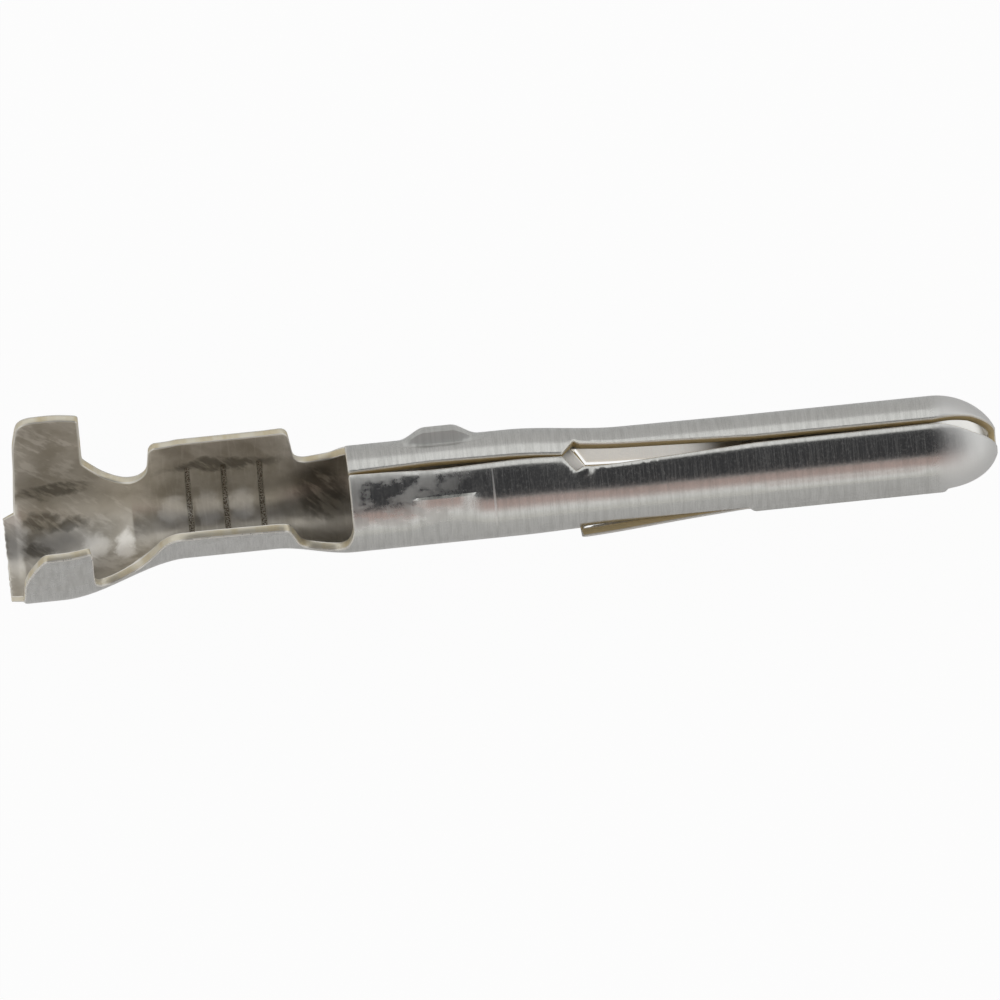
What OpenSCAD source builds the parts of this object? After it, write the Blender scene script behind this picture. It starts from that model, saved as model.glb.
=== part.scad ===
// Crimp pin contact, stamped and folded from one strip of plated brass.
// It is drawn along its own axis first: X runs from the wire end to the nose, the seam and the
// open side of both barrels face +Z. At the end it is turned to lie as it comes to rest.

/* [Sheet] */
// Thickness of the strip
sheet_t = 0.20; // [0.16:0.01:0.24]

/* [Insulation barrel] */
// Outer radius of the floor
ins_r = 1.49; // [1.35:0.01:1.60]
// How far the centre of that radius lies below the contact axis
ins_drop = 0.27; // [0.15:0.01:0.40]
// Height of the wing tips above the contact axis
ins_wing_h = 2.03; // [1.60:0.01:2.30]
// Outward lean of the wings
ins_flare = 8.3; // [4:0.1:14]
// Length of the wings along the axis
ins_len = 1.54; // [1.30:0.01:2.00]
// Radius of the wings' rear corners
ins_corner_r = 0.33; // [0.10:0.01:0.40]
// Radius of the wings' front corners
ins_front_r = 0.10; // [0.05:0.01:0.40]

/* [Wire barrel] */
// Outer radius of the floor
wire_r = 0.93; // [0.85:0.01:1.05]
// How far the centre of that radius lies below the contact axis
wire_drop = 0.05; // [0:0.01:0.12]
// Height of the wing tips above the contact axis
wire_wing_h = 1.30; // [1.00:0.01:1.60]
// Outward lean of the wings
wire_flare = 14.5; // [8:0.1:20]
// Length of the wings along the axis
wire_len = 3.29; // [2.90:0.01:3.80]
// Corner radius of the wings
wire_corner_r = 0.22; // [0.10:0.01:0.35]
// Number of serrations across the floor
serrations = 3; // [1:1:3]
// Distance from one serration to the next
serration_pitch = 0.82; // [0.60:0.01:0.90]
// How far the serrations lie forward of the barrel's middle
serration_shift = 0.08; // [0:0.01:0.15]
// Width of a serration
serration_w = 0.14; // [0.08:0.01:0.20]
// Depth of a serration
serration_d = 0.05; // [0.03:0.01:0.08]
// How far the serrations stop below the wing tips
serration_stop = 0.75; // [0.50:0.01:1.00]

/* [Cut-off tab] */
// Length of the stub left by the carrier strip
tab_len = 0.32; // [0.20:0.01:0.60]
// Thickness of the stub, which is coined thinner than the strip
tab_t = 0.14; // [0.10:0.01:0.16]
// Half of the angle that the stub spans on the barrel's floor
tab_half_angle = 53; // [35:1:65]

/* [Transitions] */
// Length from the insulation barrel to the wire barrel
neck_len = 1.46; // [1.20:0.01:1.80]
// Height of its edges above the contact axis, negative when below
neck_edge_z = -0.10; // [-0.40:0.01:0.10]
// Fillet where the neck meets the wings
neck_fillet = 0.30; // [0.15:0.01:0.45]
// How far its narrowing reaches back into the insulation barrel
neck_run_in = 0.70; // [0.40:0.01:0.80]
// How far its narrowing reaches on into the wire barrel
neck_run_out = 0.72; // [0.40:0.01:0.75]
// Length from the wire barrel to the tube
throat_len = 1.20; // [1.00:0.01:1.60]
// Height of its edges above the contact axis
throat_edge_z = 0.08; // [-0.10:0.01:0.20]
// Fillet where the throat meets the wings and the tube
throat_fillet = 0.32; // [0.20:0.01:0.40]
// How far its widening reaches back into the wire barrel
throat_run_in = 0.55; // [0.30:0.01:0.60]

/* [Locking tube] */
// Outer radius of the tube
tube_r = 1.205; // [1.12:0.005:1.30]
// Length of the tube up to the notch
tube_len = 4.84; // [4.50:0.01:6.00]
// Gap of the seam at the tube's rear end
seam_rear_w = 0.04; // [0.02:0.01:0.10]
// Widest gap of the seam
seam_mid_w = 0.16; // [0.06:0.01:0.24]
// Where the seam is widest, from the tube's rear end
seam_mid_x = 1.92; // [1.00:0.01:3.50]
// Height of the stop shoulders above the tube
stop_h = 0.30; // [0.10:0.01:0.32]
// Length of the stop shoulders
stop_len = 1.73; // [1.20:0.01:2.20]
// Distance from the tube's rear end to the stop shoulders
stop_x = 1.26; // [0.80:0.01:2.20]
// Angle from the seam to the steep side of a stop shoulder
stop_angle = 36; // [28:1:50]

/* [Pin] */
// Outer radius of the pin
pin_r = 1.065; // [1.00:0.005:1.10]
// Length of the pin from the notch to the nose
pin_len = 8.04; // [7.60:0.01:9.00]
// How much wider the pin's radius is behind the lances' roots than at the nose
pin_swell = 0.02; // [0.01:0.005:0.04]
// Length over which the tube narrows to the pin
taper_len = 2.60; // [1.60:0.01:2.80]
// How far that narrowing reaches past the notch
taper_past = 0.98; // [0.40:0.01:1.20]
// Length of the nose, if it ran on to a point
nose_len = 1.42; // [1.10:0.01:1.60]
// Radius of the hole that the sheet's end leaves at the tip
tip_hole_r = 0.22; // [0.19:0.01:0.30]
// Width of the slot behind the nose
slot_front_w = 0.075; // [0.04:0.005:0.15]
// Width of the slot where its taper changes
slot_mid_w = 0.13; // [0.10:0.01:0.24]
// Where the slot's taper changes, from the notch
slot_mid_x = 3.97; // [2.50:0.01:5.00]
// Width of the slot at the notch
slot_rear_w = 0.54; // [0.30:0.01:0.60]
// Widest opening of the notch
notch_w = 0.70; // [0.55:0.01:0.90]
// Length of the notch
notch_len = 0.42; // [0.25:0.01:0.50]
// Opening of the slot at the tip of the nose
tip_gap_w = 0.36; // [0.20:0.01:0.36]

/* [Lances and ribs] */
// Angle from the seam to the middle of a lance
lance_angle = 122; // [112:1:135]
// Half of the angle that a lance spans
lance_half_angle = 15; // [11:1:18]
// Length of a lance
lance_len = 3.86; // [3.00:0.01:4.20]
// How far the free end of a lance stands out of the pin
lance_lift = 0.29; // [0.22:0.01:0.36]
// Distance from the tube's front end to the free end of a lance
lance_x = 0.27; // [0.15:0.01:0.80]
// Width of the sheared gap beside a lance
shear_gap = 0.03; // [0.02:0.01:0.06]
// Height of the ribs in front of the lances
rib_h = 0.08; // [0.04:0.01:0.12]
// Radius of the ribs' round back
rib_r = 0.30; // [0.25:0.01:0.40]
// How far the ribs run out over the start of the nose
rib_end = 0.25; // [0.10:0.01:0.30]

/* [Lying position] */
// Turn about the contact axis at which it comes to rest, counted from the open side up
rest_roll = 27; // [0:0.5:30]

/* [Hidden] */
$fn = 64;

plating = [0.72, 0.72, 0.70];

// Stations along the axis, counted from the broken end of the tab
ins_x = tab_len;
neck_x = ins_x + ins_len;
wire_x = neck_x + neck_len;
throat_x = wire_x + wire_len;
tube_x = throat_x + throat_len;
notch_x = tube_x + tube_len;
pin_x = notch_x + notch_len;
nose_x = pin_x + pin_len;
lance_root_x = notch_x + lance_x + lance_len;
// The pin is straight from just behind its ribs
straight_x = lance_root_x - rib_end - 0.05;
total_len = nose_x + nose_len;

// The tube and the pin share one floor line, so the pin's axis lies a little lower
pin_drop = tube_r - pin_r;
taper_end_x = pin_x + taper_past;
taper_x = taper_end_x - taper_len;
// Where the barrels' floors start and stop being straight
neck_start_x = neck_x - neck_run_in;
neck_end_x = wire_x + neck_run_out;
throat_start_x = throat_x - throat_run_in;
// Angle past upright at which the throat's sheet follows the tube's round wall
throat_close = -22;

// It lies on the floor of the insulation barrel and on the pin behind the nose. These are the
// depths of both under the axis, and the lean and height of the axis that follow.
rear_depth = ins_drop * cos(rest_roll) + ins_r;
front_depth = pin_drop * cos(rest_roll) + pin_r;
rest_pitch = atan((rear_depth - front_depth) / (nose_x - neck_start_x));
rest_height = rear_depth * cos(rest_pitch) - (total_len / 2 - neck_start_x) * sin(rest_pitch);
// Reach to each side, of the lower wing tip and of the barrel's floor, and the middle of both
ins_tip_y = ins_r * cos(ins_flare) + (ins_wing_h + ins_drop + ins_r * sin(ins_flare)) * tan(ins_flare);
wing_reach = ins_tip_y * cos(rest_roll) + ins_wing_h * sin(rest_roll);
floor_reach = ins_drop * sin(rest_roll) + ins_r;
rest_shift = (floor_reach - wing_reach) / 2;

// Wall that the embossing leaves on the stop shoulders
stop_wall = 0.6 * sheet_t;
// Share of the notch's length at which it is widest, and of the nose's at which it opens fully
notch_peak = 0.68;
tip_gap_from = 0.6;
// How much a lance bows: 1 is straight
lance_bow = 1.15;

// Detail of the lofted stretches
loft_rings = 14;
section_steps = 20;
taper_steps = 48;
taper_rings = 10;
// Overlap that joins neighbouring stretches, and reach of a cut past a wall
bite = 0.02;
past = 1;
// Lofted stretches are drawn this much inside the round ones that they meet
shy = 0.006;
// Walls are drawn this tall, then cut to the wings' outline, and this reach covers every floor
wall_top = ins_wing_h + 0.15;
deep = ins_r + ins_drop + past;

function blend(t) = t * t * (3 - 2 * t);
function mix(a, b, t) = a + (b - a) * t;
// Stations along a stretch that crowd together at both ends, the outermost a bite beyond them
function station(i, length) =
    i < 0 ? -bite : i > loft_rings ? length + bite : length * (1 - cos(180 * i / loft_rings)) / 2;

// Point at the length s along a bent strip of middle radius r, moved outward by off
function strip_point(s, r, drop, flare, off) =
    let (side = sign(s), bend = r * (90 - flare) * PI / 180, over = max(abs(s) - bend, 0),
         a = min(abs(s), bend) / r * 180 / PI)
    [side * ((r + off) * sin(a) + over * sin(flare)),
     -drop - (r + off) * cos(a) + over * cos(flare)];

// Closed outline of a strip with a round floor and tall straight sides: along its outer side,
// then back along its inner side
function strip_outline(r, drop, flare) =
    let (mid = r - sheet_t / 2, bend = mid * (90 - flare) * PI / 180,
         half = bend + (wall_top + drop + mid * sin(flare)) / cos(flare), off = sheet_t / 2 - shy,
         rows = concat([-half], [for (i = [0 : section_steps]) bend * (2 * i / section_steps - 1)], [half]))
    concat([for (s = rows) strip_point(s, mid, drop, flare, off)],
           [for (i = [len(rows) - 1 : -1 : 0]) strip_point(rows[i], mid, drop, flare, -off)]);

function round_outline(r, drop, steps) =
    [for (i = [0 : steps - 1]) [r * sin(360 * i / steps), -drop - r * cos(360 * i / steps)]];

// Solid through a row of outlines, each given as [station, outline] in the YZ plane.
// A strip's outline runs out and back, so its ends are closed by a row of small faces.
module loft(rings, strip = false) {
    count = len(rings[0][1]);
    last = (len(rings) - 1) * count;
    half = count / 2;
    around = [for (i = [0 : count - 1]) i];
    polyhedron(
        points = [for (ring = rings) for (p = ring[1]) [ring[0], p[0], p[1]]],
        faces = concat(
            strip ? [for (i = [0 : half - 2]) [i, i + 1, count - 2 - i, count - 1 - i]] : [around],
            [for (k = [0 : count : last - count]) for (i = around) let (j = (i + 1) % count)
                each [[k + i, k + i + count, k + j], [k + j, k + i + count, k + j + count]]],
            strip
                ? [for (i = [0 : half - 2]) [for (j = [count - 1 - i, count - 2 - i, i + 1, i]) last + j]]
                : [[for (i = around) last + count - 1 - i]]),
        convexity = 6);
}

// Stands a flat outline, drawn as Y and Z, up across the axis from station x
module across(x, length) translate([x, 0, 0]) rotate([90, 0, 90]) linear_extrude(length) children();

// Extrudes a flat outline, drawn as X and Z, to both sides
module sideways(width) rotate([90, 0, 0]) linear_extrude(width, center = true) children();

// Turns a feature about the axis, from the seam towards +Y or -Y
module from_seam(angle) rotate([-angle, 0, 0]) children();

// Filled outline of a barrel: a round floor with straight leaning sides
module barrel_outline(r, flare, top) {
    turn = -r * sin(flare);
    tip = r * cos(flare) + (top - turn) * tan(flare);
    circle(r);
    polygon([[-r * cos(flare), turn], [r * cos(flare), turn], [tip, top], [-tip, top]]);
}

// Straight stretch of a barrel with tall walls
module barrel(x, length, r, drop, flare) {
    across(x, length) translate([0, -drop]) difference() {
        barrel_outline(r, flare, wall_top + drop);
        barrel_outline(r - sheet_t, flare, wall_top + drop + past);
    }
}

// Serrations bite into the strands: shallow steps across the floor and up both sides
module serrations() {
    middle = wire_x + wire_len / 2 + serration_shift;
    for (i = [0 : serrations - 1])
        across(middle + (i - (serrations - 1) / 2) * serration_pitch - serration_w / 2, serration_w)
            translate([0, -wire_drop])
                barrel_outline(wire_r - sheet_t + serration_d, wire_flare,
                               wire_wing_h + wire_drop - serration_stop);
}

// Narrowing between the two barrels. The wings' lean changes late, so that their tips stay in line.
module neck() {
    length = neck_end_x - neck_start_x;
    loft([for (i = [-1 : loft_rings + 1])
        let (x = station(i, length), t = max(0, min(1, x / length)), s = blend(t))
        [neck_start_x + x, strip_outline(mix(ins_r, wire_r, s), mix(ins_drop, wire_drop, s),
                                         mix(ins_flare, wire_flare, pow(t, 3)))]], strip = true);
}

// The sheet opens out from the wire barrel and starts to close round to the tube
module throat() {
    length = tube_x - throat_start_x;
    loft([for (i = [-1 : loft_rings + 1])
        let (x = station(i, length), t = max(0, min(1, x / length)), s = blend(t))
        [throat_start_x + x, strip_outline(mix(wire_r, tube_r, s), mix(wire_drop, 0, s),
                                           mix(wire_flare, throat_close, pow(t, 3)))]], strip = true);
}

// Side view of a pair of wings, down past the floor
module wing_profile(x, length, top, rear_r, front_r) translate([x, -deep]) {
    square([length / 2, deep + top - rear_r]);
    translate([length / 2, 0]) square([length / 2, deep + top - front_r]);
    translate([rear_r, 0]) square([length - rear_r - front_r, deep + top]);
    translate([rear_r, deep + top - rear_r]) circle(rear_r);
    translate([length - front_r, deep + top - front_r]) circle(front_r);
}

// Side view of a stretch with low edges, filleted at both ends
module edge_profile(x, length, top, fillet_r) translate([x, 0]) {
    translate([-bite, -deep]) square([length + 2 * bite, deep + top]);
    for (end = [0, 1]) translate([end * length, top]) mirror([end, 0]) difference() {
        translate([-bite, -bite]) square(fillet_r + bite);
        translate([fillet_r, fillet_r]) circle(fillet_r);
    }
}

// Open part of the contact: one bent sheet, cut to the wings' outline
module open_part() intersection() {
    union() {
        barrel(ins_x, neck_start_x - ins_x, ins_r, ins_drop, ins_flare);
        neck();
        difference() {
            barrel(neck_end_x, throat_start_x - neck_end_x, wire_r, wire_drop, wire_flare);
            serrations();
        }
        throat();
    }
    sideways(4 * wall_top) {
        wing_profile(ins_x, ins_len, ins_wing_h, ins_corner_r, ins_front_r);
        edge_profile(neck_x, neck_len, neck_edge_z, neck_fillet);
        wing_profile(wire_x, wire_len, wire_wing_h, wire_corner_r, wire_corner_r);
        edge_profile(throat_x, throat_len, throat_edge_z, throat_fillet);
    }
}

// Stub of the carrier strip, broken off across the floor of the insulation barrel
module cut_off_tab() {
    reach = 2 * ins_r;
    across(0, tab_len + bite) translate([0, -ins_drop]) intersection() {
        difference() {
            circle(ins_r - (sheet_t - tab_t));
            circle(ins_r - sheet_t);
        }
        polygon([[0, 0], [-reach * tan(tab_half_angle), -reach], [reach * tan(tab_half_angle), -reach]]);
    }
}

// One stop shoulder: steep towards the seam, rounded off on its other sides
module stop_shoulder(grow) {
    swing = tube_r / 2;
    top = tube_r + stop_h - swing + grow;
    root = stop_h + 0.05;
    ramp = stop_len * 0.30;
    steps = 8;
    intersection() {
        translate([tube_x + stop_x, 0, swing]) rotate([0, 90, 0]) rotate_extrude()
            polygon(concat(
                [[0, 0]],
                [for (i = [0 : steps]) [top - root * (1 + cos(180 * i / steps)) / 2, ramp * i / steps]],
                [for (i = [steps : -1 : 0])
                    [top - root * (1 + cos(180 * i / steps)) / 2, stop_len - ramp * i / steps]],
                [[0, stop_len]]));
        translate([tube_x + stop_x - past, -grow, 0]) cube([stop_len + 2 * past, 2 * tube_r, 2 * tube_r]);
    }
}

module tube_outside() {
    translate([tube_x, 0, 0]) rotate([0, 90, 0]) cylinder(h = taper_x - tube_x, r = tube_r);
    for (side = [0, 1]) mirror([0, side, 0]) from_seam(stop_angle) stop_shoulder(0);
}

module tube_inside() {
    translate([tube_x - past, 0, 0]) rotate([0, 90, 0])
        cylinder(h = taper_x - tube_x + past, r = tube_r - sheet_t);
    for (side = [0, 1]) mirror([0, side, 0]) from_seam(stop_angle) stop_shoulder(-stop_wall);
}

// Round wall that narrows from the tube to the pin, with a straight floor line
module taper(inset) {
    loft([for (i = [0 : taper_rings])
        let (t = i / taper_rings, s = blend(t))
        [mix(taper_x, taper_end_x, t),
         round_outline(mix(tube_r, pin_r + pin_swell, s) - inset, mix(0, pin_drop, s), taper_steps)]]);
}

// A rib is a round back that shows a little through the pin's wall, from a lance's root to the nose
module rib() {
    ramp = rib_end - bite;
    start = lance_root_x - rib_end;
    rib_len = nose_x + rib_end - start;
    translate([start, 0, pin_r + rib_h - rib_r]) rotate([0, 90, 0]) rotate_extrude()
        polygon([[0, 0], [rib_r - 2 * rib_h, 0], [rib_r, ramp], [rib_r, rib_len - ramp],
                 [rib_r - 2 * rib_h, rib_len], [0, rib_len]]);
}

// Half round outline of the nose: a quarter ellipse turned about the axis
module nose_shape(inset) {
    steps = 12;
    translate([nose_x, 0, 0]) rotate([0, 90, 0]) rotate_extrude()
        polygon(concat([[0, 0]], [for (i = [0 : steps])
            [(pin_r - inset) * cos(90 * i / steps), (nose_len - inset) * sin(90 * i / steps)]]));
}

module pin_outside() translate([0, 0, -pin_drop]) {
    translate([taper_end_x, 0, 0]) rotate([0, 90, 0])
        cylinder(h = straight_x - taper_end_x, r1 = pin_r + pin_swell, r2 = pin_r);
    translate([straight_x, 0, 0]) rotate([0, 90, 0]) cylinder(h = nose_x - straight_x, r = pin_r);
    nose_shape(0);
    for (side = [-1, 1]) from_seam(side * lance_angle) rib();
}

module pin_inside() translate([0, 0, -pin_drop]) {
    translate([taper_end_x, 0, 0]) rotate([0, 90, 0])
        cylinder(h = nose_x - taper_end_x, r = pin_r - sheet_t);
    nose_shape(sheet_t);
    translate([nose_x, 0, 0]) rotate([0, 90, 0]) cylinder(h = nose_len + past, r = tip_hole_r);
}

// Seam, notch, slot and the opening of the nose, cut down through the upper wall in one outline
module seam_cut() {
    edge = [
        [tube_x - past, seam_rear_w], [tube_x, seam_rear_w], [tube_x + seam_mid_x, seam_mid_w],
        [notch_x, seam_rear_w / 2], [notch_x + notch_len * notch_peak, notch_w], [pin_x, slot_rear_w],
        [pin_x + slot_mid_x, slot_mid_w], [nose_x, slot_front_w],
        [nose_x + nose_len * tip_gap_from, tip_gap_w], [total_len + past, tip_gap_w]];
    last = len(edge) - 1;
    translate([0, 0, -pin_drop]) linear_extrude(tube_r + pin_drop + past)
        polygon(concat([for (p = edge) [p[0], p[1] / 2]],
                       [for (i = [last : -1 : 0]) [edge[i][0], -edge[i][1] / 2]]));
}

// Window that the lance leaves in the wall
module lance_window() {
    reach = 2 * pin_r;
    across(notch_x + lance_x, lance_len)
        polygon([[0, 0], [-reach * tan(lance_half_angle), reach], [reach * tan(lance_half_angle), reach]]);
}

// Tongue of sheet that rises out of its window towards the wire end
module lance() {
    steps = 6;
    rings = 8;
    half = lance_half_angle - shear_gap / pin_r * 180 / PI;
    tip_x = notch_x + lance_x;
    loft([for (k = [0 : rings])
        let (t = k / rings, lift = lance_lift * pow(1 - t, lance_bow))
        [tip_x + lance_len * t + (k == rings ? bite : 0),
         concat(
            [for (i = [0 : steps]) let (a = half * (1 - 2 * i / steps))
                (pin_r + lift - shy) * [sin(a), cos(a)]],
            [for (i = [steps : -1 : 0]) let (a = half * (1 - 2 * i / steps))
                (pin_r + lift - sheet_t + shy) * [sin(a), cos(a)]])]], strip = true);
}

module tube_and_pin() {
    difference() {
        union() {
            tube_outside();
            taper(shy);
            pin_outside();
        }
        tube_inside();
        taper(sheet_t - shy);
        pin_inside();
        seam_cut();
        for (side = [-1, 1]) translate([0, 0, -pin_drop]) from_seam(side * lance_angle) lance_window();
    }
    for (side = [-1, 1]) translate([0, 0, -pin_drop]) from_seam(side * lance_angle) lance();
}

module pin_contact() color(plating)
    translate([0, rest_shift, rest_height]) rotate([0, rest_pitch, 0]) rotate([-rest_roll, 0, 0])
        translate([-total_len / 2, 0, 0]) {
            cut_off_tab();
            open_part();
            tube_and_pin();
        }

pin_contact();
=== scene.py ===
# A crimp pin contact lying on a white table.
# Lengths in the dictionaries are millimetres along the contact's own axis, counted from the broken
# end of its tab. The blank is drawn flat, meshed, folded up, and laid down the way it rests.
import math

import bpy
import numpy as np
from mathutils import Matrix, Vector
from mathutils.geometry import delaunay_2d_cdt


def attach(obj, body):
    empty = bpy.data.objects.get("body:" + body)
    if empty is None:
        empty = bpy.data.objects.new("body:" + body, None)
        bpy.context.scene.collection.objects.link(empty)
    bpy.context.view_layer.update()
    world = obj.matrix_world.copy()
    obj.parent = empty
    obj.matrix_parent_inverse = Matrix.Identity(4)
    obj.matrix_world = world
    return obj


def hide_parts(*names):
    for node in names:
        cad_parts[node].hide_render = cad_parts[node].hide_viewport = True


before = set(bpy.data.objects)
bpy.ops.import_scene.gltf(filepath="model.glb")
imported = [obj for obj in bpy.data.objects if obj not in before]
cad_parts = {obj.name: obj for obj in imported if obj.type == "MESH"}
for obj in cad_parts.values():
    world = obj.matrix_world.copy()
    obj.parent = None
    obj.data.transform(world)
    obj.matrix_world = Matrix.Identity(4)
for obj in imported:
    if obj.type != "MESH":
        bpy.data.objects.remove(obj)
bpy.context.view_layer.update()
mm = 0.001

strip = {
    "thick": 0.20,
    "lip": 0.04,            # round of the sheared edges
    "column": 0.065,        # spacing of the mesh along the axis
    "row": 0.07,            # and around it
    "fineRow": 0.06,        # around it, at a serration or crease
    "edgeStep": 0.05,       # spacing of the outline's points
    "rollDegrees": 27.0,
    "aside": 0.0011,        # keep the mesh inside the box of the solids
    "lift": 0.002,
}
tab = {"length": 0.32, "halfDegrees": 53.0, "thin": 0.06, "step": 0.04, "rough": 0.012, "slant": 0.12}
insulation = {"radius": 1.49, "drop": 0.27, "top": 2.03, "flare": 8.3, "length": 1.54}
neck = {"length": 1.46, "runIn": 0.70, "runOut": 0.72, "crease": 1.10, "creaseHeight": 0.03,
        "creaseHalf": 0.5, "creaseReach": 1.3}
wire = {"radius": 0.93, "drop": 0.05, "flare": 14.5, "length": 3.29}
serration = {"count": 3, "pitch": 0.82, "shift": 0.08, "width": 0.14, "depth": 0.05, "top": 0.55,
             "soft": 0.04, "reach": 2.1}
throat = {"length": 1.20, "flare": -22.0, "runIn": 0.55}
# Edges of the open stretch as [along, height]: the stamping wore them unevenly, so they differ
edges = {
    "far": [
        (0.32, 0.10), (0.34, 1.00), (0.40, 1.50), (0.46, 1.80), (0.58, 1.95), (0.78, 2.02),
        (1.20, 2.03), (1.80, 2.03), (1.86, 1.98), (1.87, 1.40), (1.88, 0.60), (1.92, 0.42),
        (2.27, 0.12), (2.58, 0.00), (2.83, 0.00), (3.09, 0.13), (3.29, 0.40), (3.35, 0.75),
        (3.38, 1.08), (3.43, 1.20), (3.54, 1.28), (4.00, 1.30), (6.30, 1.30), (6.46, 1.27),
        (6.55, 1.15), (6.60, 0.80), (6.64, 0.48), (6.72, 0.32), (6.90, 0.22), (7.20, 0.20),
        (7.50, 0.22), (7.81, 0.42)],
    "near": [
        (0.32, 0.30), (0.40, 0.70), (0.52, 1.10), (0.66, 1.48), (0.76, 1.70), (0.86, 1.77),
        (1.20, 1.78), (1.76, 1.78), (1.84, 1.70), (1.87, 1.20), (1.88, 0.30), (1.91, -0.20),
        (2.02, -0.42), (2.21, -0.50), (2.42, -0.48), (2.69, -0.36), (2.93, -0.22), (3.12, 0.02),
        (3.30, 0.34), (3.48, 0.72), (3.70, 1.00), (3.95, 1.14), (4.30, 1.20), (5.20, 1.16),
        (6.20, 1.10), (6.36, 1.02), (6.46, 0.70), (6.54, 0.25), (6.62, -0.08), (6.76, -0.24),
        (7.00, -0.30), (7.40, -0.26), (7.62, -0.10), (7.74, 0.15), (7.81, 0.42)],
}
tube = {"radius": 1.205, "length": 4.84, "corner": 0.06, "closing": 0.25}
stop = {
    "start": 1.21,
    "length": 1.83,
    "degrees": 36.0,        # its edge, from the seam
    "height": 0.30,
    "nearHeight": 0.16,
    "nearSlope": 0.9,
    "nearCurve": 1.2,
    "farEnd": 0.34,         # share of the length over which an end rises
    "nearEnd": 0.38,
    "farSoft": 2.5,         # degrees over which the edge rises
    "nearSoft": 0.8,
}
pin = {"radius": 1.065, "swell": 0.02, "straight": 0.30, "length": 8.04, "notch": 0.42,
       "taper": 2.60, "past": 0.98}
nose = {"length": 1.42, "hole": 0.22, "bend": 0.11}
# Width of the opening between both edges, and where along a part it has that width
gap = {"rear": 0.04, "middle": 0.16, "middleAt": 1.92, "front": 0.02, "notch": 0.70, "notchPeak": 0.68,
       "slotRear": 0.54, "slotMiddle": 0.13, "slotMiddleAt": 3.97, "slotFront": 0.075,
       "tip": 0.36, "tipAt": 0.6}
lance = {"degrees": 122.0, "half": 15.0, "length": 3.86, "start": 0.27, "lift": 0.29, "curl": 1.15,
         "shear": 0.03, "slant": 0.32}
rib = {"height": 0.07, "half": 0.23, "soft": 0.08, "rise": 0.12, "end": 0.20,
       "markAt": -1.84, "markHeight": 0.009, "markHalf": 0.14, "markSoft": 0.06, "markEnds": 0.3}
lug = {"height": 0.06, "behind": 0.08, "ahead": 0.30, "rise": 0.19, "width": 0.25, "soft": 0.16}
rolled = {"depth": 0.035, "reach": 0.16, "start": 0.6, "full": 2.0, "fade": 0.3}
camera = {"tilt": 1.5, "slope": 5.84, "distance": 900.0, "width": 22.57, "aimAt": 11.226,
          "below": 0.366}

# Stations along the axis
insAt = tab["length"]
neckAt = insAt + insulation["length"]
wireAt = neckAt + neck["length"]
throatAt = wireAt + wire["length"]
tubeAt = throatAt + throat["length"]
notchAt = tubeAt + tube["length"]
pinAt = notchAt + pin["notch"]
noseAt = pinAt + pin["length"]
endAt = noseAt + nose["length"]
taperEnd = pinAt + pin["past"]
taperStart = taperEnd - pin["taper"]
lanceAt = notchAt + lance["start"]
lanceRoot = lanceAt + lance["length"]
pinDrop = tube["radius"] - pin["radius"]
neckStart = neckAt - neck["runIn"]
neckEnd = wireAt + neck["runOut"]
throatStart = throatAt - throat["runIn"]
half = strip["thick"] / 2


def ramp(x, start, end):  # eases from 0 at start to 1 at end
    t = np.clip((x - start) / (end - start), 0, 1)
    return t * t * (3 - 2 * t)


def bump(x, start, end, rise):  # 1 between start and end, easing in and out over rise
    return ramp(x, start, start + rise) * (1 - ramp(x, end - rise, end))


# The section of the sheet along the axis


def sectionAt(u):  # middle radius, drop of its centre and lean of its sides
    toWire = ramp(u, neckStart, neckEnd)
    toTube = ramp(u, throatStart, tubeAt)
    toPin = ramp(u, taperStart, taperEnd)
    radius = insulation["radius"] + (wire["radius"] - insulation["radius"]) * toWire
    radius = radius + (tube["radius"] - wire["radius"]) * toTube
    radius = radius + (pin["radius"] + pin["swell"] - tube["radius"]) * toPin
    straightAt = lanceRoot - pin["straight"]
    radius = radius - pin["swell"] * np.clip((u - taperEnd) / (straightAt - taperEnd), 0, 1)
    drop = insulation["drop"] + (wire["drop"] - insulation["drop"]) * toWire
    drop = drop * (1 - toTube) + pinDrop * toPin
    late = np.clip((u - neckStart) / (neckEnd - neckStart), 0, 1)**3
    flare = insulation["flare"] + (wire["flare"] - insulation["flare"]) * late
    late = np.clip((u - throatStart) / (tubeAt - throatStart), 0, 1)**3
    flare = flare + (throat["flare"] - wire["flare"]) * late
    flare = flare + (-90 - flare) * ramp(u, tubeAt - tube["closing"], tubeAt)
    return radius - half, drop, np.radians(flare)


noseMiddle = nose["length"] - half
pinMiddle = pin["radius"] - half
noseEnd = noseAt + noseMiddle * math.acos(nose["hole"] / pinMiddle)


def middlePoint(u, s):  # the sheet's middle surface, before any relief
    radius, drop, flare = sectionAt(u)
    turn = np.maximum(u - noseAt, 0) / noseMiddle
    shrunk = radius * np.cos(turn)
    bend = radius * (np.pi / 2 - flare)
    angle = np.minimum(np.abs(s), bend) / radius
    over = np.maximum(np.abs(s) - bend, 0)
    x = np.minimum(u, noseAt) + noseMiddle * np.sin(turn)
    y = np.sign(s) * (shrunk * np.sin(angle) + over * np.sin(flare))
    y = y - nose["bend"] * ramp(u, noseAt - 0.1, noseEnd)
    z = -drop - shrunk * np.cos(angle) + over * np.cos(flare)
    return np.stack([x, y, z], axis=-1)


def lengthAt(u, z):  # how far from the floor's middle the sheet reaches the height z
    radius, drop, flare = sectionAt(np.asarray(u, float))
    turn = -drop - radius * np.sin(flare)
    low = radius * np.arccos(np.clip((-drop - z) / radius, -1, 1))
    high = radius * (np.pi / 2 - flare) + (z - turn) / np.maximum(np.cos(flare), 0.1)
    return np.where(z < turn, low, high)


def fromSeam(u, s):  # angle from the seam, in degrees
    return 180 - np.degrees(np.abs(s) / sectionAt(u)[0])


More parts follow.
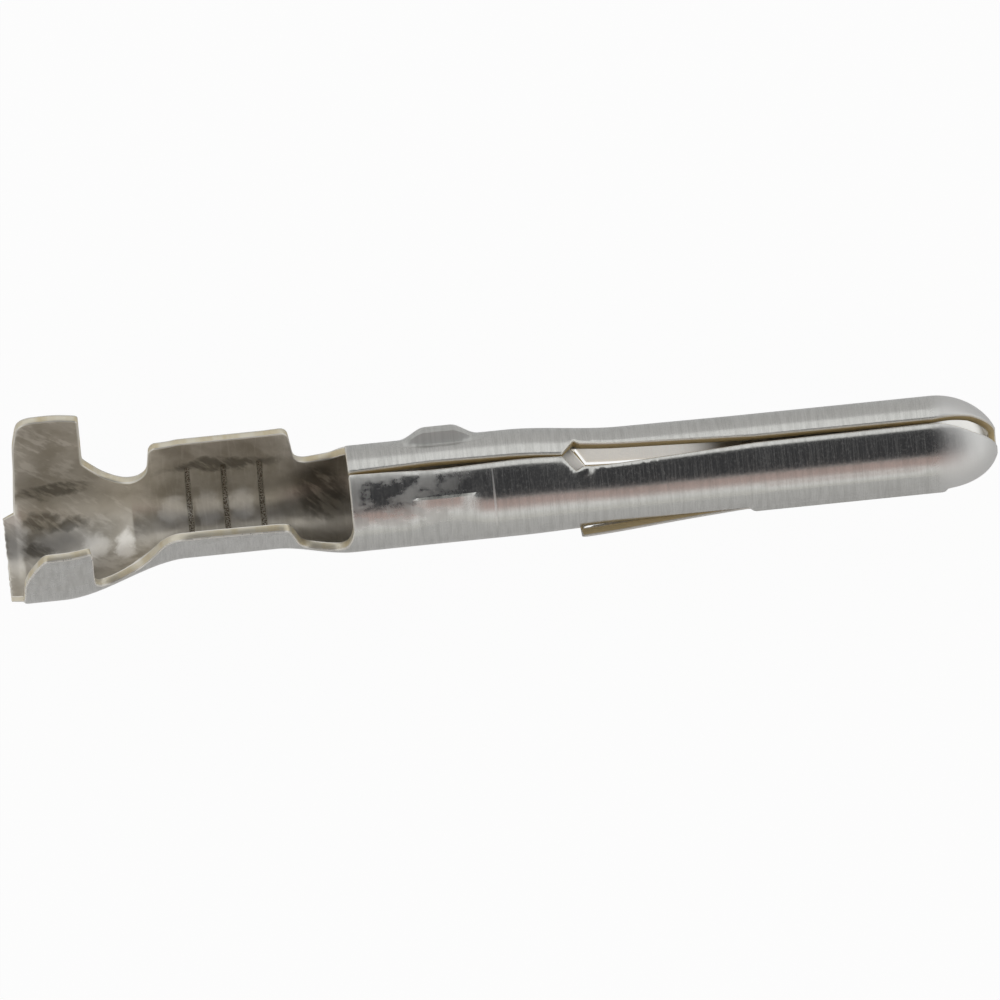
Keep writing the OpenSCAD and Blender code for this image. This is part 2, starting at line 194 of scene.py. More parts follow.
def stopRelief(u, s):  # the far shoulder stands up in a round, the near one slopes from its edge
    swing = tube["radius"] / 2
    reach = swing + stop["height"]
    away = np.radians(fromSeam(u, s) - stop["degrees"])
    tall = swing * np.cos(away) + np.sqrt(np.maximum(reach**2 - (swing * np.sin(away))**2, 0))
    fall = np.maximum(1 - np.maximum(away, 0) * tube["radius"] / stop["nearSlope"], 0)
    low = stop["nearHeight"] * fall**stop["nearCurve"]
    rise = np.where(s > 0, np.maximum(tall - tube["radius"], 0), low)
    start = tubeAt + stop["start"]
    ends = np.where(s > 0, stop["farEnd"], stop["nearEnd"]) * stop["length"]
    along = bump(u, start, start + stop["length"], ends)
    soft = np.where(s > 0, stop["farSoft"], stop["nearSoft"])
    steep = ramp(np.degrees(away), -soft, soft)
    return rise * steep * along


def ribRelief(u, s):  # the ribs in front of the lances, and a faint strip beside the near one
    offset = np.abs(np.radians(fromSeam(u, s) - lance["degrees"])) * pin["radius"]
    across = 1 - ramp(offset, rib["half"] - rib["soft"], rib["half"])
    along = bump(u, lanceRoot + 0.01, noseAt + rib["end"], rib["rise"])
    mark = 1 - ramp(np.abs(s - rib["markAt"]), rib["markHalf"] - rib["markSoft"], rib["markHalf"])
    markAlong = bump(u, lanceRoot + rib["markEnds"], noseAt - rib["markEnds"], rib["rise"])
    return rib["height"] * across * along + rib["markHeight"] * mark * markAlong


def lanceMiddle(u):  # length from the floor's middle to a lance's
    return math.radians(180 - lance["degrees"]) * sectionAt(u)[0]


def lanceLift(u, s):  # how far a lance is bent out
    wide = math.radians(lance["half"]) * pinMiddle
    aside = np.abs(s) - lanceMiddle(u)
    tip = lanceAt - 0.01 + lance["slant"] * np.clip(0.5 - aside / wide / 2, 0, 1)
    inside = (np.abs(aside) < wide - lance["shear"] / 2) & (u > tip)
    t = np.clip((lanceRoot - u) / lance["length"], 0, 1)
    lift = lance["lift"] * t**lance["curl"] - (sectionAt(u)[0] - pinMiddle) * ramp(t, 0, 0.3)
    return np.where(inside, lift, 0)


def serrationsAt():
    middle = wireAt + wire["length"] / 2 + serration["shift"]
    count = serration["count"]
    return [middle + (i - (count - 1) / 2) * serration["pitch"] for i in range(count)]


def grooves(u, s):  # serrations, in the inner side only
    cut = 0
    for at in serrationsAt():
        cut = cut + bump(u, at - serration["width"] / 2, at + serration["width"] / 2, serration["soft"])
    height = middlePoint(u, s)[:, 2]
    below = 1 - ramp(height, serration["top"] - serration["soft"], serration["top"])
    crease = np.maximum(1 - np.abs(u - neckAt - neck["crease"]) / neck["creaseHalf"], 0)**2
    return serration["depth"] * cut * below - neck["creaseHeight"] * crease


def fromNearEdge(u, s):
    return np.abs(seamEdge(np.minimum(u, noseAt)) + s)


def lugRelief(u, s):  # sheared corner that stands up beside the notch
    along = bump(u, pinAt - lug["behind"], pinAt + lug["ahead"], lug["rise"])
    across = bump(fromNearEdge(u, s), -0.15, lug["width"], lug["soft"])
    return lug["height"] * along * across * (s < 0)


def rolledRelief(u, s):  # the near edge of the seam and slot rolls over a little
    fall = np.maximum(1 - fromNearEdge(u, s) / rolled["reach"], 0)**2
    along = ramp(u, tubeAt + rolled["start"], tubeAt + rolled["full"])
    along = along * (1 - ramp(u, noseAt, noseAt + rolled["fade"]))
    return -rolled["depth"] * fall * along * (s < 0)


def folded(u, s, off):  # where the folded sheet has a point of the flat blank
    e = 1e-4
    along = middlePoint(u + e, s) - middlePoint(u - e, s)
    across = middlePoint(u, s + e) - middlePoint(u, s - e)
    normal = np.cross(across, along)
    normal /= np.linalg.norm(normal, axis=1, keepdims=True)
    relief = stopRelief(u, s) + ribRelief(u, s) + lanceLift(u, s)
    relief = relief + lugRelief(u, s) + rolledRelief(u, s)
    thin = 1 - tab["thin"] / strip["thick"] * (1 - ramp(u, insAt - tab["step"], insAt))
    depth = off * thin + np.where(off < -half * 0.9, grooves(u, s), 0)
    return middlePoint(u, s) + normal * (relief + depth)[:, None]


# The outline of the blank


def arc(cx, cz, r, start, end, steps=8):
    angles = np.radians(np.linspace(start, end, steps + 1))
    return [(cx + r * math.cos(a), cz + r * math.sin(a)) for a in angles]


def gapWidth(u):
    at = [tubeAt, tubeAt + gap["middleAt"], notchAt, notchAt + pin["notch"] * gap["notchPeak"],
          pinAt, pinAt + gap["slotMiddleAt"], noseAt, noseAt + nose["length"] * gap["tipAt"], endAt]
    width = [gap["rear"], gap["middle"], gap["front"], gap["notch"], gap["slotRear"],
             gap["slotMiddle"], gap["slotFront"], gap["tip"], gap["tip"]]
    return np.interp(u, at, width)


def seamEdge(u):  # length at which the rolled sheet ends beside the seam, notch or slot
    radius = sectionAt(u)[0]
    turn = np.maximum(u - noseAt, 0) / noseMiddle
    return radius * (np.pi - np.arcsin(np.clip(gapWidth(u) / 2 / (radius * np.cos(turn)), 0, 1)))


def spread(points, step):  # puts points along the straight runs of an outline
    result = []
    for a, b in zip(points, points[1:]):
        count = max(1, math.ceil(math.dist(a, b) / step))
        result += [(a[0] + (b[0] - a[0]) * i / count, a[1] + (b[1] - a[1]) * i / count)
                   for i in range(count)]
    return result + [points[-1]]


def curve(points):  # a smooth line through the points, without overshoot
    path = np.array([points[0]] + points + [points[-1]])
    result = []
    for a, b, c, d in zip(path, path[1:], path[2:], path[3:]):
        reach = math.dist(b, c)
        leave = (c - a) / math.dist(c, a) * min(reach, math.dist(a, b) or reach)
        arrive = (d - b) / math.dist(d, b) * min(reach, math.dist(c, d) or reach)
        for t in np.linspace(0, 1, 6)[:-1]:
            result.append(b * (2 * t**3 - 3 * t**2 + 1) + c * (3 * t**2 - 2 * t**3)
                          + leave * (t**3 - 2 * t**2 + t) + arrive * (t**3 - t**2))
    return np.array(result + [path[-1]])


def sideOutline(name):  # one half of the blank's outline, from the tab's end to the nose
    tabHalf = math.radians(tab["halfDegrees"]) * (insulation["radius"] - half)
    path = curve(edges[name])
    wings = list(zip(path[:, 0], lengthAt(path[:, 0], path[:, 1])))
    rear = float(seamEdge(np.array([tubeAt]))[0])
    c = tube["corner"]
    opened = [(0.0, tabHalf - tab["slant"]), (tab["length"] * 0.8, tabHalf)] + wings
    opened += arc(tubeAt + c, rear - c, c, 180, 90)
    stations = np.unique(np.concatenate([
        np.linspace(tubeAt + 0.1, notchAt, 60), np.linspace(notchAt, pinAt, 14),
        np.linspace(pinAt, noseAt, 90), np.linspace(noseAt, noseEnd, 30)]))
    return spread(opened, strip["edgeStep"]) + list(zip(stations, seamEdge(stations)))


def blankOutline():
    side = sideOutline("far")
    tail = [(u, -s) for u, s in sideOutline("near")]
    rng = np.random.default_rng(4)
    across = np.linspace(side[0][1], tail[0][1], 40)[1:-1]
    broken = [(abs(rng.normal(0, tab["rough"])), s) for s in across]
    front = spread([side[-1], tail[-1]], 0.08)[1:-1]
    return np.array(tail + front[::-1] + side[::-1] + broken)


def lanceSlot(side):  # the sheared line round three sides of a lance
    wide = side * math.radians(lance["half"]) * pinMiddle
    narrow = wide - side * lance["shear"]
    tip = lanceAt - lance["shear"]
    slant = lance["slant"]
    loop = [(lanceRoot, wide), (tip, wide), (tip + slant, -wide), (lanceRoot, -wide),
            (lanceRoot, -narrow), (lanceAt + slant, -narrow), (lanceAt, narrow),
            (lanceRoot, narrow), (lanceRoot, wide)]
    path = np.array(spread(loop, 0.06)[:-1])
    return np.stack([path[:, 0], path[:, 1] + side * lanceMiddle(path[:, 0])], axis=1)


def loopArea(loop):
    x, y = loop[:, 0], loop[:, 1]
    return 0.5 * float(np.sum(x * np.roll(y, -1) - y * np.roll(x, -1)))


def towardSheet(loop):  # unit direction from each outline point into the sheet
    ahead = np.roll(loop, -1, axis=0) - loop
    behind = loop - np.roll(loop, 1, axis=0)
    ahead /= np.linalg.norm(ahead, axis=1, keepdims=True)
    behind /= np.linalg.norm(behind, axis=1, keepdims=True)
    left = np.stack([-(ahead + behind)[:, 1], (ahead + behind)[:, 0]], axis=1)
    left /= np.maximum(np.linalg.norm(left, axis=1, keepdims=True), 1e-6)
    cosine = np.clip(-left[:, 0] * ahead[:, 1] + left[:, 1] * ahead[:, 0], 0.6, 1)
    return left / cosine[:, None]


def insideLoop(points, loop):  # which points lie inside a closed outline
    within = np.zeros(len(points), bool)
    for a, b in zip(loop, np.roll(loop, -1, axis=0)):
        if a[1] == b[1]:
            continue
        beside = (points[:, 1] > min(a[1], b[1])) & (points[:, 1] <= max(a[1], b[1]))
        crossing = a[0] + (points[:, 1] - a[1]) * (b[0] - a[0]) / (b[1] - a[1])
        within ^= beside & (points[:, 0] < crossing)
    return within


def fineLines():  # extra points where the sheet turns sharply
    steep = math.radians(180 - stop["degrees"]) * (tube["radius"] - half)
    start = tubeAt + stop["start"]
    along = np.arange(start - 0.1, start + stop["length"] + 0.1, strip["edgeStep"])
    lines = [(u, side * (steep + d)) for u in along for d in (-0.02, 0.02) for side in (-1, 1)]
    across = np.arange(-serration["reach"], serration["reach"], strip["fineRow"])
    for at in serrationsAt():
        for d in (-1.0, -0.55, 0.0, 0.55, 1.0):
            lines += [(at + d * serration["width"] / 2, s) for s in across]
    across = np.arange(-neck["creaseReach"], neck["creaseReach"], strip["fineRow"])
    creaseAt = wireAt - neck["length"] + neck["crease"]
    return np.array(lines + [(creaseAt + d, s) for d in (-0.03, 0.0, 0.03) for s in across])


def evenGrid(highest, fixed):  # points that keep clear of the fixed ones
    columns = np.arange(strip["column"] / 2, noseEnd, strip["column"])
    rows = np.arange(-highest, highest, strip["row"])
    grid = np.stack(np.meshgrid(columns, rows), axis=-1).reshape(-1, 2)
    keep = np.ones(len(grid), bool)
    batch = 2000
    for i in range(0, len(grid), batch):
        block = grid[i:i + batch]
        near = ((block[:, None, :] - fixed[None, :, :])**2).sum(axis=2).min(axis=1)
        keep[i:i + batch] = near > (strip["column"] * 0.5)**2
    return grid[keep]


def flatMesh(loops):  # triangles between the inset outlines
    inset = [loop + towardSheet(loop) * strip["lip"] for loop in loops]
    edgePoints = np.concatenate(inset)
    fixed = np.concatenate([edgePoints, fineLines()])
    highest = max(loop[:, 1].max() for loop in loops)
    points = np.concatenate([fixed, evenGrid(highest, fixed)])
    links, first = [], 0
    for loop in inset:
        count = len(loop)
        links += [(first + i, first + (i + 1) % count) for i in range(count)]
        first += count
    verts, _, faces, origin, _, _ = delaunay_2d_cdt(
        [Vector(p) for p in points.tolist()], links, [], 4, 1e-7)
    verts, faces = np.array([tuple(v) for v in verts]), np.array(faces)
    middles = verts[faces].mean(axis=1)
    for hole in inset[1:]:
        outside = ~insideLoop(middles, hole)
        faces, middles = faces[outside], middles[outside]
    used = np.unique(faces)
    renumber = np.full(len(verts), -1)
    renumber[used] = np.arange(len(used))
    print("flat mesh:", len(points), "points in,", len(used), "used,", len(faces), "triangles")
    back = {}
    for index, sources in enumerate(origin):
        for source in sources:
            back[source] = int(renumber[index])
    return verts[used], renumber[faces].tolist(), [back[i] for i in range(len(edgePoints))]


# The folded sheet


def thickened(loops):  # both sides of the sheet and its cut edges: a table of points, and faces
    flat, triangles, rimIndex = flatMesh(loops)
    lip = strip["lip"]
    # Profile of the cut edge, from the outer side to the inner: inset, offset and side
    profile = [(lip * 0.3, half - lip * 0.3, 0.6), (0.0, half - lip, 0.2),
               (0.0, -half + lip * 0.6, -0.2), (lip * 0.25, -half + lip * 0.15, -0.6)]
    bandFinish = [0, 0, 2, 1, 1]
    outer = np.column_stack([flat, np.full(len(flat), half), np.ones(len(flat))])
    inner = np.column_stack([flat, np.full(len(flat), -half), -np.ones(len(flat))])
    blocks, faces, finishes = [outer, inner], [], []
    for a, b, c in triangles:
        faces += [(a, c, b), (a + len(flat), b + len(flat), c + len(flat))]
        finishes += [0, 1]
    total, first = 2 * len(flat), 0
    for loop in loops:
        count = len(loop)
        inward = towardSheet(loop)
        rings = [[rimIndex[first + i] for i in range(count)]]
        for inset, off, side in profile:
            ring = loop + inward * inset
            blocks.append(np.column_stack([ring, np.full(count, off), np.full(count, side)]))
            rings.append(list(range(total, total + count)))
            total += count
        rings.append([rimIndex[first + i] + len(flat) for i in range(count)])
        for finish, above, below in zip(bandFinish, rings, rings[1:]):
            for i in range(count):
                j = (i + 1) % count
                faces.append((above[i], above[j], below[j], below[i]))
                finishes.append(finish)
        first += count
    return np.concatenate(blocks), faces, finishes


def sheetObject():
    loops = [blankOutline(), lanceSlot(1), lanceSlot(-1)]
    loops[0] = loops[0] if loopArea(loops[0]) > 0 else loops[0][::-1]
    loops[1:] = [hole if loopArea(hole) < 0 else hole[::-1] for hole in loops[1:]]
    spots, faces, finishes = thickened(loops)
    along, across, off, side = spots.T
    points = placed(folded(along, across, off))
    mesh = bpy.data.meshes.new("contact_sheet")
    mesh.from_pydata(points.tolist(), [], faces)
    mesh.validate()
    mesh.polygons.foreach_set("use_smooth", [True] * len(mesh.polygons))
    mesh.set_sharp_from_angle(angle=math.radians(35))
    mesh.polygons.foreach_set("material_index", finishes)
    cuts = grooves(along, across) / serration["depth"]
    for name, values in (("along", along), ("across", across), ("side", side), ("cuts", cuts)):
        layer = mesh.attributes.new(name, "FLOAT", "POINT")
        layer.data.foreach_set("value", values.astype(np.float32))
    mesh.update()
    piece = bpy.data.objects.new("contact_sheet", mesh)
    bpy.context.scene.collection.objects.link(piece)
    print("sheet:", len(points), "points,", len(faces), "faces")
    return piece


def placed(points):  # from the contact's own axis to the way it lies, in metres
    roll = math.radians(strip["rollDegrees"])
    rearDepth = insulation["drop"] * math.cos(roll) + insulation["radius"]
    frontDepth = pinDrop * math.cos(roll) + pin["radius"]
    pitch = math.atan((rearDepth - frontDepth) / (noseAt - neckStart))
    height = rearDepth * math.cos(pitch) - (endAt / 2 - neckStart) * math.sin(pitch)
    radius, top = insulation["radius"], insulation["top"]
    flare = math.radians(insulation["flare"])
    lean = (top + insulation["drop"] + radius * math.sin(flare)) * math.tan(flare)
    wing = (radius * math.cos(flare) + lean) * math.cos(roll) + top * math.sin(roll)
    floor = insulation["drop"] * math.sin(roll) + radius
    aside = (floor - wing) / 2 + strip["aside"]
    x, y, z = points[:, 0] - endAt / 2, points[:, 1], points[:, 2]
    y, z = y * math.cos(roll) + z * math.sin(roll), -y * math.sin(roll) + z * math.cos(roll)
    x, z = x * math.cos(pitch) + z * math.sin(pitch), -x * math.sin(pitch) + z * math.cos(pitch)
    return np.stack([x, y + aside, z + height + strip["lift"]], axis=1) * mm


# Shaders


class Link:  # a socket that takes part in Python sums
    def __init__(self, maker, socket):
        self.maker, self.socket = maker, socket

    def sum(self, operation, a, b):
        return self.maker.node("Math", {"operation": operation}, {0: a, 1: b})

    def __add__(self, other):
        return self.sum("ADD", self, other)

    def __radd__(self, other):
        return self.sum("ADD", other, self)

    def __sub__(self, other):
        return self.sum("SUBTRACT", self, other)

    def __rsub__(self, other):
        return self.sum("SUBTRACT", other, self)

    def __mul__(self, other):
        return self.sum("MULTIPLY", self, other)

    def __rmul__(self, other):
        return self.sum("MULTIPLY", other, self)


class Maker:  # writes one node tree
    def __init__(self, tree):
        self.tree = tree
        tree.nodes.clear()

    def node(self, kind, settings, sockets, out=0):
        made = self.tree.nodes.new("ShaderNode" + kind)
        for name, value in settings.items():
            setattr(made, name, value)
        for name, value in sockets.items():
            if isinstance(value, Link):
                self.tree.links.new(value.socket, made.inputs[name])
            else:
                made.inputs[name].default_value = value
        if not made.outputs:
            return made
        return Link(self, made.outputs[out])

    def attribute(self, name):
        return self.node("Attribute", {"attribute_name": name}, {}, "Fac")

    def vector(self, x, y, z):
        return self.node("CombineXYZ", {}, {0: x, 1: y, 2: z})

    def noise(self, vector, scale, detail=3.0, rough=0.5):
        sockets = {"Vector": vector, "Scale": scale, "Detail": detail, "Roughness": rough}
        return self.node("TexNoise", {}, sockets, "Fac")

    def range(self, value, low, high, to=(0.0, 1.0)):
        sockets = {"Value": value, "From Min": low, "From Max": high, "To Min": to[0], "To Max": to[1]}
        return self.node("MapRange", {"interpolation_type": "SMOOTHSTEP"}, sockets)

    def mix(self, factor, a, b):
        return self.node("Mix", {"data_type": "RGBA"}, {0: factor, 6: a, 7: b}, 2)


def newMaterial(name):
    material = bpy.data.materials.new(name)
    material.use_nodes = True
    return material, Maker(material.node_tree)


def metal(make, color, rough, height, strength, metallic, glow=(0, 0, 0, 1)):
    depth = 0.01 * mm
    normal = make.node("Bump", {}, {"Strength": strength, "Distance": depth, "Height": height})
    skin = make.node("BsdfPrincipled", {}, {
        "Base Color": color, "Roughness": rough, "Metallic": metallic, "Normal": normal,
        "Emission Color": glow, "Emission Strength": 1.0})
    make.node("OutputMaterial", {}, {"Surface": skin})


def patch(make, u, s, place):  # soft oval: its middle and half sizes
    a = (u - place[0]) * (1 / place[2])
    b = (s - place[1]) * (1 / place[3])
    return 1.0 - make.range(a * a + b * b, 0.2, 1.2)


outerLook = {
    "pale": (0.69, 0.69, 0.67, 1),
    "grey": (0.60, 0.60, 0.58, 1),
    "satin": (0.78, 0.78, 0.77, 1),         # the nose
    "dieLine": (0.85, 0.85, 0.83, 1),
    # painted highlight on the rounded outer lips of the cut edges
    "lip": (0.88, 0.86, 0.80, 1),
    "dieLinePlace": (11.05, -2.6, 0.03, 0.75),
    "bump": 0.42,
}


def outerTin():
    material, make = newMaterial("outer_tin")
    u, s, side = make.attribute("along"), make.attribute("across"), make.attribute("side")
    streaks = make.noise(make.vector(u * 9, s * 1.1, 0), 1.0, 4.0)
    fine = make.noise(make.vector(u * 60, s * 9, 3), 1.0, 2.0)
    lines = make.noise(make.vector(u * 34, s * 1.4, 6), 1.0, 3.0)
    specks = make.noise(make.vector(u * 16, s * 16, 7), 1.0, 2.0)
    patches = make.noise(make.vector(u * 1.6, s * 2.5, 5), 1.0, 5.0, 0.6)
    # Where the skin is worn, formed or sheared, and a painted highlight on the sheared lips
    satin = make.range(u, noseAt - 0.25, noseAt + 0.35)
    worn = make.range(patches, 0.42, 0.58) * (1.0 - make.range(u, tubeAt + 1.4, tubeAt + 3.4))
    worn = worn * make.range(s * -1, 2.05, 2.4)
    steep = math.radians(180 - stop["degrees"]) * (tube["radius"] - half)
    stopMiddle = tubeAt + stop["start"] + stop["length"] / 2
    flank = patch(make, u, s, (stopMiddle, steep - 0.05, 1.1, 0.22))
    dieLine = patch(make, u, s, outerLook["dieLinePlace"])
    # painted highlight: the outer lips of the cut edges are drawn lighter
    lip = 1.0 - make.range(side, 0.72, 0.98)
    color = make.mix(make.range(streaks, 0.35, 0.7), outerLook["pale"], outerLook["grey"])
    color = make.mix(satin, color, outerLook["satin"])
    color = make.mix(dieLine * 0.8, color, outerLook["dieLine"])
    color = make.mix(lip, color, outerLook["lip"])
    rough = make.range(streaks * 0.6 + specks * 0.4, 0.35, 0.75, (0.17, 0.26))
    rough = rough + worn * 0.26 + satin * 0.26 + flank * 0.4 + dieLine * 0.3
    dull = flank * 0.6 + worn * 0.22 + make.range(lines, 0.46, 0.66) * 0.11
    dull = dull + make.range(specks, 0.5, 0.75) * 0.09 + lip * 0.6
    height = streaks * 0.35 + fine * 0.3 + lines * 0.2 + specks * 0.25
    metal(make, color, rough, height, outerLook["bump"], 1.0 - dull)
    return material


innerLook = {
    "pale": (0.68, 0.64, 0.57, 1),
    "dark": (0.52, 0.48, 0.41, 1),
    "wiped": (0.92, 0.88, 0.81, 1),
    "drawn": (0.85, 0.81, 0.74, 1),
    # painted highlight colour for the lighter ovals on the inside
    "paintedHighlight": (0.95, 0.93, 0.89, 1),
    # colour of the darker ovals on the inside
    "darkOval": (0.20, 0.18, 0.15, 1),
    # painted shade for the serration grooves
    "grooveShade": (0.16, 0.13, 0.09, 1),
    # painted highlight on the rounded inner lips of the cut edges
    "rimHighlight": (0.90, 0.87, 0.80, 1),
    "slotGlow": (0.46, 0.45, 0.43, 1),     # painted glow for the light that falls in through the slot
    # painted glow inside the nose, where light comes in through its opening
    "noseGlow": (0.72, 0.72, 0.70, 1),
    "bump": 0.5,
    "metallic": 0.8,
    # Ovals: middle along and across, half sizes, and strength
    # painted highlights: ovals where the hollow is drawn lighter and made to glow faintly
    "paintedHighlightPlaces": [(1.5, 0.45, 0.80, 0.45, 0.4), (2.74, 0.0, 0.28, 0.46, 1.0),
                     (3.86, 0.62, 0.42, 0.44, 0.45), (4.62, 0.62, 0.32, 0.48, 0.4),
                     (5.42, 0.62, 0.34, 0.44, 0.45), (0.2, 0.6, 0.3, 0.9, 0.5),
                     (2.1, 0.25, 0.36, 0.36, 0.6)],
    "dimPlaces": [(0.85, 1.10, 0.40, 0.26), (1.50, 0.85, 0.50, 0.20), (1.2, 1.9, 0.9, 0.3),
                  (7.2, 0.8, 0.6, 0.9), (0.7, 0.3, 0.4, 0.25), (5.0, 1.95, 1.5, 0.22)],
}


def innerTin():
    material, make = newMaterial("inner_tin")
    u, s, side = make.attribute("along"), make.attribute("across"), make.attribute("side")
    wiped = make.noise(make.vector(u * 2.2 + s * 2.2, s * 0.6 - u * 0.6, 1), 1.6, 3.0, 0.6)
    drawn = make.noise(make.vector(u * 12, s * 1.4, 3), 1.0, 3.0)
    soft = make.noise(make.vector(u, s, 9), 1.3, 4.0, 0.6)
    grit = make.noise(make.vector(u * 30, s * 30, 2), 1.0, 2.0)
    blots = make.noise(make.vector(u, s, 4), 2.6, 4.0, 0.6)
    wavyU, wavyS = u + (blots - 0.5) * 0.7, s + (soft - 0.5) * 0.7
    # painted highlights, in the colour and in a faint glow
    paintedHighlight = 0.0
    for place in innerLook["paintedHighlightPlaces"]:
        paintedHighlight = patch(make, wavyU, wavyS, place) * place[4] + paintedHighlight
    dim = 0.0
    # darker ovals on the inside, mottled by the wiped noise
    for place in innerLook["dimPlaces"]:
        dim = patch(make, wavyU, wavyS, place) + dim
    wipedShare = 1.0 - make.range(u, 2.9, 3.6) * 0.75
    # wiped tin shows more strongly inside the painted highlights
    wipes = make.range(wiped, 0.50, 0.66) * (0.5 + paintedHighlight * 0.5) * wipedShare
    draws = make.range(drawn, 0.48, 0.70) * (1.0 - wipedShare) * 0.4
    cuts = make.range(make.attribute("cuts"), 0.15, 0.6)
    color = make.mix(make.range(soft, 0.35, 0.70), innerLook["pale"], innerLook["dark"])
    color = make.mix(wipes, color, innerLook["wiped"])
    color = make.mix(draws, color, innerLook["drawn"])
    color = make.mix(paintedHighlight * 0.5, color, innerLook["paintedHighlight"])
    color = make.mix(dim * make.range(wiped, 0.34, 0.54) * 0.8, color, innerLook["darkOval"])
    # painted shade in the serration grooves, broken up by grit noise
    color = make.mix(cuts * make.range(grit, 0.38, 0.62), color, innerLook["grooveShade"])
    # painted highlight on the rounded inner lips of the cut edges
    color = make.mix(make.range(side, -0.98, -0.7), color, innerLook["rimHighlight"])
    rough = make.range(wiped, 0.3, 0.7, (0.32, 0.46)) + cuts * 0.2
    # painted glows inside the slot and the nose, standing in for light that comes in there
    slot = patch(make, u, s, (pinAt + 1.23, 0.95, 1.9, 0.5))
    nosePart = patch(make, u, s, (noseAt + 0.75, 0.85, 0.75, 0.8))
    # painted highlight: a faint glow on the same ovals
    glow = make.mix(paintedHighlight * 0.15, (0, 0, 0, 1), (1, 0.98, 0.94, 1))
    glow = make.mix(slot, glow, innerLook["slotGlow"])
    glow = make.mix(nosePart, glow, innerLook["noseGlow"])
    height = wiped * 0.5 + drawn * 0.15 + soft * 0.3 + grit * 0.1
    metal(make, color, rough, height, innerLook["bump"], innerLook["metallic"], glow)
    return material


cutLook = {
    "pale": (0.84, 0.79, 0.66, 1),
    "brass": (0.74, 0.65, 0.46, 1),
    "rolledBrass": (0.62, 0.50, 0.28, 1),   # from the tube on, where the edges kept less tin
    "bump": 0.3,
}


def cutBrass():
    material, make = newMaterial("cut_brass")
    u, s = make.attribute("along"), make.attribute("across")
    grain = make.noise(make.vector(u * 2.2, s * 2.2, 0), 1.0, 4.0)
    fromTube = make.range(u, tubeAt - 0.1, tubeAt + 0.3)
    color = make.mix(make.range(grain, 0.40, 0.65), cutLook["pale"], cutLook["brass"])
    color = make.mix(fromTube, color, cutLook["rolledBrass"])
    rough = make.range(grain, 0.3, 0.7, (0.35, 0.5))
    metal(make, color, rough, grain, cutLook["bump"], 0.55 - fromTube * 0.35)
    return material


# Surroundings

studio = {
    # Angles from straight up, in degrees: sideways towards +Y, and along the contact either way
    "hood": [(-40.0, -28.0), (38.0, 50.0)],
    "warm": [(-72.0, -48.0), (-38.0, -28.0)],
    "low": (-86.0, -62.0),
    "endways": (26.0, 50.0),
    "skyColor": (0.86, 0.86, 0.85, 1),
    "lowColor": (0.64, 0.63, 0.60, 1),
    "warmColor": (0.48, 0.37, 0.34, 1),
    "hoodColor": (0.045, 0.045, 0.048, 1),
}


def surroundings():  # a pale sky with a dark hood over the contact, which the bright tin reflects
    world = bpy.data.worlds.new("studio")
    bpy.context.scene.world = world
    world.use_nodes = True
    make = Maker(world.node_tree)
    direction = make.node("TexCoord", {}, {}, "Generated")
    x, y, z = (make.node("SeparateXYZ", {}, {"Vector": direction}, axis) for axis in "XYZ")
    sideways = make.node("Math", {"operation": "ARCTAN2"}, {0: y, 1: z}) * (180 / math.pi)
    lengthways = make.node("Math", {"operation": "ARCTAN2"}, {0: x, 1: z}) * (180 / math.pi)
    lengthways = make.node("Math", {"operation": "ABSOLUTE"}, {0: lengthways})
    inLine = 1.0 - make.range(lengthways, *studio["endways"])

    def zone(name):
        start, end = studio[name]
        return make.range(sideways, *start) * (1.0 - make.range(sideways, *end)) * inLine

    sky = make.mix(make.range(sideways, *studio["low"]), studio["lowColor"], studio["skyColor"])
    sky = make.mix(zone("warm"), sky, studio["warmColor"])
    sky = make.mix(zone("hood"), sky, studio["hoodColor"])
    straight = make.node("LightPath", {}, {}, "Is Camera Ray")
    seen = make.mix(straight, sky, (1, 1, 1, 1))
    back = make.node("Background", {}, {"Color": seen, "Strength": 1.0})
    make.node("OutputWorld", {}, {"Surface": back})


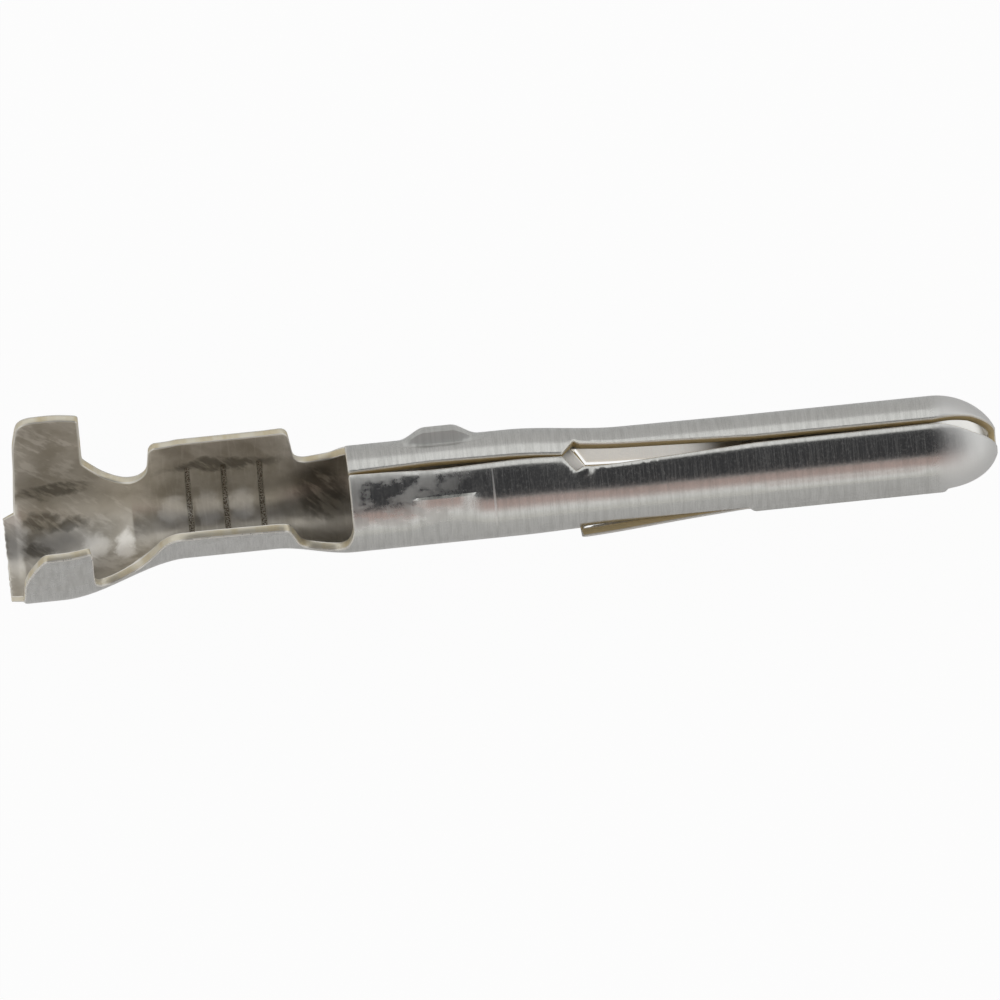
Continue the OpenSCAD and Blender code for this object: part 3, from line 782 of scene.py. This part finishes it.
tableTop = {"half": 400.0, "color": (0.85, 0.85, 0.84, 1), "seenWhite": 0.96, "mirroredWhite": 0.22}


def floorPlane():
    size = tableTop["half"] * mm
    corners = [(-size, -size, 0), (size, -size, 0), (size, size, 0), (-size, size, 0)]
    mesh = bpy.data.meshes.new("table")
    mesh.from_pydata(corners, [], [(0, 1, 2, 3)])
    plane = bpy.data.objects.new("table", mesh)
    bpy.context.scene.collection.objects.link(plane)
    material, make = newMaterial("white_table")
    white = make.node("BsdfDiffuse", {}, {"Color": tableTop["color"]})
    glow = make.node("Emission", {}, {"Color": (1, 1, 1, 1), "Strength": 1.0})
    straight = make.node("LightPath", {}, {}, "Is Camera Ray")
    mirrored = make.node("LightPath", {}, {}, "Is Glossy Ray")
    share = straight * tableTop["seenWhite"] + mirrored * tableTop["mirroredWhite"]
    both = make.node("MixShader", {}, {0: share, 1: white, 2: glow})
    make.node("OutputMaterial", {}, {"Surface": both})
    mesh.materials.append(material)


def placeCamera():  # straight above, turned so that the contact rises a little to the right
    tilt, slope = math.radians(camera["tilt"]), math.radians(camera["slope"])
    toCamera = Vector((0, -math.sin(tilt), math.cos(tilt)))
    right = Vector((math.cos(slope), -math.sin(slope), 0))
    up = toCamera.cross(right).normalized()
    right = up.cross(toCamera)
    lens = bpy.data.cameras.new("camera")
    lens.sensor_width = 36.0
    lens.lens = 36.0 * camera["distance"] / camera["width"]
    lens.clip_start = 0.01
    holder = bpy.data.objects.new("camera", lens)
    aim = Vector(placed(np.array([[camera["aimAt"], 0.0, 0.0]]))[0])
    holder.matrix_world = Matrix((right, up, toCamera)).transposed().to_4x4()
    holder.location = aim - up * camera["below"] * mm + toCamera * camera["distance"] * mm
    bpy.context.scene.collection.objects.link(holder)
    bpy.context.scene.camera = holder


contact = sheetObject()
for finish in (outerTin(), innerTin(), cutBrass()):
    contact.data.materials.append(finish)
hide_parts("pin_contact")
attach(contact, "root")
floorPlane()
surroundings()
placeCamera()
bpy.context.scene.view_settings.view_transform = "Standard"
print("scene ready")
